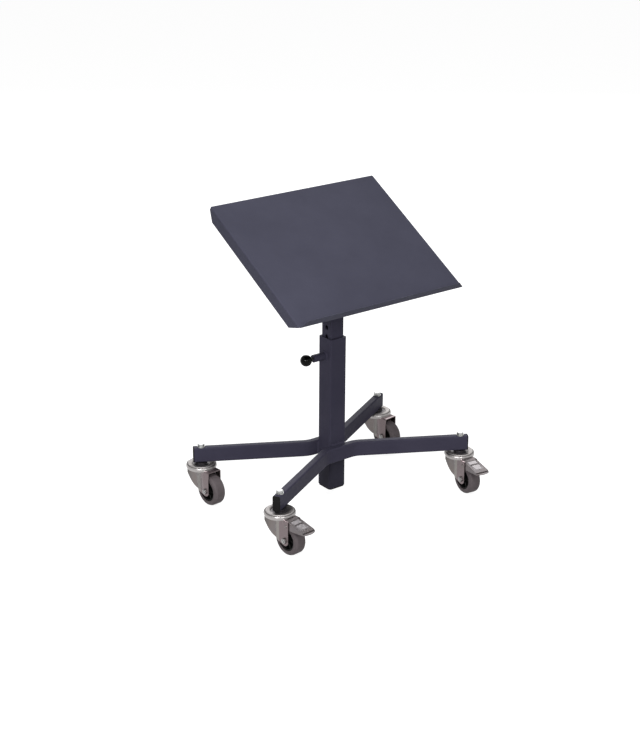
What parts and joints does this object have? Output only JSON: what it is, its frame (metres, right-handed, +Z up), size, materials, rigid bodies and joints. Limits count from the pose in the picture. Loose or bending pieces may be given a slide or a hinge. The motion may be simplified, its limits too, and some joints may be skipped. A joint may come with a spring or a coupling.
{
  "type": "mobile tilting work stand",
  "caption": "Mobile work stand: a sloping steel table with a front stop lip, clamped to a height-adjustable square mast on splayed legs with swivel casters and foot brakes.",
  "frame": {"origin": "on the floor under the middle of the stand's overall footprint", "axes": "+Z up, -Y towards the operator, where the table's low edge and stop lip are; X runs left to right along the table"},
  "size_m": [0.6628, 0.4941, 0.7788],
  "materials": {
    "painted_steel": "fine-textured dark grey powder coat",
    "painted_table": "fine-textured dark grey powder coat, satin",
    "zinc_plate": "bright zinc plating",
    "bright_steel": "ground bright steel",
    "black_plastic": "moulded, fine grain",
    "black_knob": "polished thermoset",
    "nylon": "natural nylon",
    "grey_rubber": "grey non-marking rubber"
  },
  "bodies": {
    "base": {"front_leg_tube": "painted_steel", "rear_leg_tube": "painted_steel", "leg_end_caps": "black_plastic", "leg_spacers": "zinc_plate", "outer_post": "painted_steel", "guide_bush": "black_plastic", "post_foot_cap": "black_plastic", "plunger_boss": "painted_steel", "plunger_spring": "bright_steel", "leg_bolts": "zinc_plate", "leg_washers": "zinc_plate", "caster_nuts": "zinc_plate", "front_left_head": "zinc_plate", "front_right_head": "zinc_plate", "rear_left_head": "zinc_plate", "rear_right_head": "zinc_plate"},
    "mast": {"inner_post": "painted_steel", "mast_top_cap": "black_plastic", "mast_foot_guide": "black_plastic", "pivot_sleeve": "zinc_plate", "pivot_bolt": "zinc_plate", "pivot_nut": "zinc_plate", "pivot_washers": "zinc_plate", "friction_washers": "nylon", "clamp_sleeve": "zinc_plate", "clamp_bolt": "zinc_plate", "clamp_washers": "zinc_plate"},
    "table": {"table_top": "painted_table", "table_stiffener": "painted_steel", "tilt_bracket": "painted_steel"},
    "clamp_lever": {"clamp_lever_hub": "bright_steel", "clamp_lever_grip": "black_plastic"},
    "plunger": {"plunger_pin": "bright_steel", "plunger_knob": "black_knob"},
    "front_left_swivel": {"front_left_fork": "zinc_plate", "front_left_balls": "bright_steel", "front_left_axle": "zinc_plate", "front_left_rivets": "zinc_plate"},
    "front_left_wheel": {"front_left_core": "black_plastic", "front_left_tyre": "grey_rubber"},
    "front_left_brake": {"front_left_pedal": "zinc_plate"},
    "front_right_swivel": {"front_right_fork": "zinc_plate", "front_right_balls": "bright_steel", "front_right_axle": "zinc_plate", "front_right_rivets": "zinc_plate"},
    "front_right_wheel": {"front_right_core": "black_plastic", "front_right_tyre": "grey_rubber"},
    "front_right_brake": {"front_right_pedal": "zinc_plate"},
    "rear_left_swivel": {"rear_left_fork": "zinc_plate", "rear_left_balls": "bright_steel", "rear_left_axle": "zinc_plate"},
    "rear_left_wheel": {"rear_left_core": "black_plastic", "rear_left_tyre": "grey_rubber"},
    "rear_right_swivel": {"rear_right_fork": "zinc_plate", "rear_right_balls": "bright_steel", "rear_right_axle": "zinc_plate"},
    "rear_right_wheel": {"rear_right_core": "black_plastic", "rear_right_tyre": "grey_rubber"}
  },
  "joints": [
    {"name": "mast_height", "type": "slide", "parent": "base", "child": "mast", "axis": [0, 0, 1], "range_m": [-0.075, 0.2]},
    {"name": "table_tilt", "type": "hinge", "parent": "mast", "child": "table", "pos_m": [0, 0.03675, 0.6427], "axis": [1, 0, 0], "range_deg": [-30, 15]},
    {"name": "clamp_lever_turn", "type": "hinge", "parent": "mast", "child": "clamp_lever", "pos_m": [0.03, 0.03675, 0.5877], "axis": [1, 0, 0], "range_deg": [0, 120]},
    {"name": "plunger_pull", "type": "slide", "parent": "base", "child": "plunger", "axis": [1, 0, 0], "range_m": [0, 0.007]},
    {"name": "front_left_swivel_turn", "type": "hinge", "parent": "base", "child": "front_left_swivel", "pos_m": [-0.29186, -0.13422, 0.08], "axis": [0, 0, 1], "continuous": true},
    {"name": "front_left_wheel_spin", "type": "hinge", "parent": "front_left_swivel", "child": "front_left_wheel", "pos_m": [-0.28837, -0.17406, 0.04], "axis": [0.9962, 0.0872, 0], "continuous": true},
    {"name": "front_left_brake_press", "type": "hinge", "parent": "front_left_swivel", "child": "front_left_brake", "pos_m": [-0.28802, -0.17805, 0.079], "axis": [0.9962, 0.0872, 0], "range_deg": [0, 10]},
    {"name": "front_right_swivel_turn", "type": "hinge", "parent": "base", "child": "front_right_swivel", "pos_m": [0.29186, -0.13422, 0.08], "axis": [0, 0, 1], "continuous": true},
    {"name": "front_right_wheel_spin", "type": "hinge", "parent": "front_right_swivel", "child": "front_right_wheel", "pos_m": [0.28698, -0.17392, 0.04], "axis": [0.9925, -0.1219, 0], "continuous": true},
    {"name": "front_right_brake_press", "type": "hinge", "parent": "front_right_swivel", "child": "front_right_brake", "pos_m": [0.28649, -0.17789, 0.079], "axis": [0.9925, -0.1219, 0], "range_deg": [0, 10]},
    {"name": "rear_left_swivel_turn", "type": "hinge", "parent": "base", "child": "rear_left_swivel", "pos_m": [-0.29186, 0.20772, 0.08], "axis": [0, 0, 1], "continuous": true},
    {"name": "rear_left_wheel_spin", "type": "hinge", "parent": "rear_left_swivel", "child": "rear_left_wheel", "pos_m": [-0.28872, 0.16784, 0.04], "axis": [0.9969, 0.0785, 0], "continuous": true},
    {"name": "rear_right_swivel_turn", "type": "hinge", "parent": "base", "child": "rear_right_swivel", "pos_m": [0.29186, 0.20772, 0.08], "axis": [0, 0, 1], "continuous": true},
    {"name": "rear_right_wheel_spin", "type": "hinge", "parent": "rear_right_swivel", "child": "rear_right_wheel", "pos_m": [0.29673, 0.16801, 0.04], "axis": [0.9925, 0.1219, 0], "continuous": true}
  ]
}
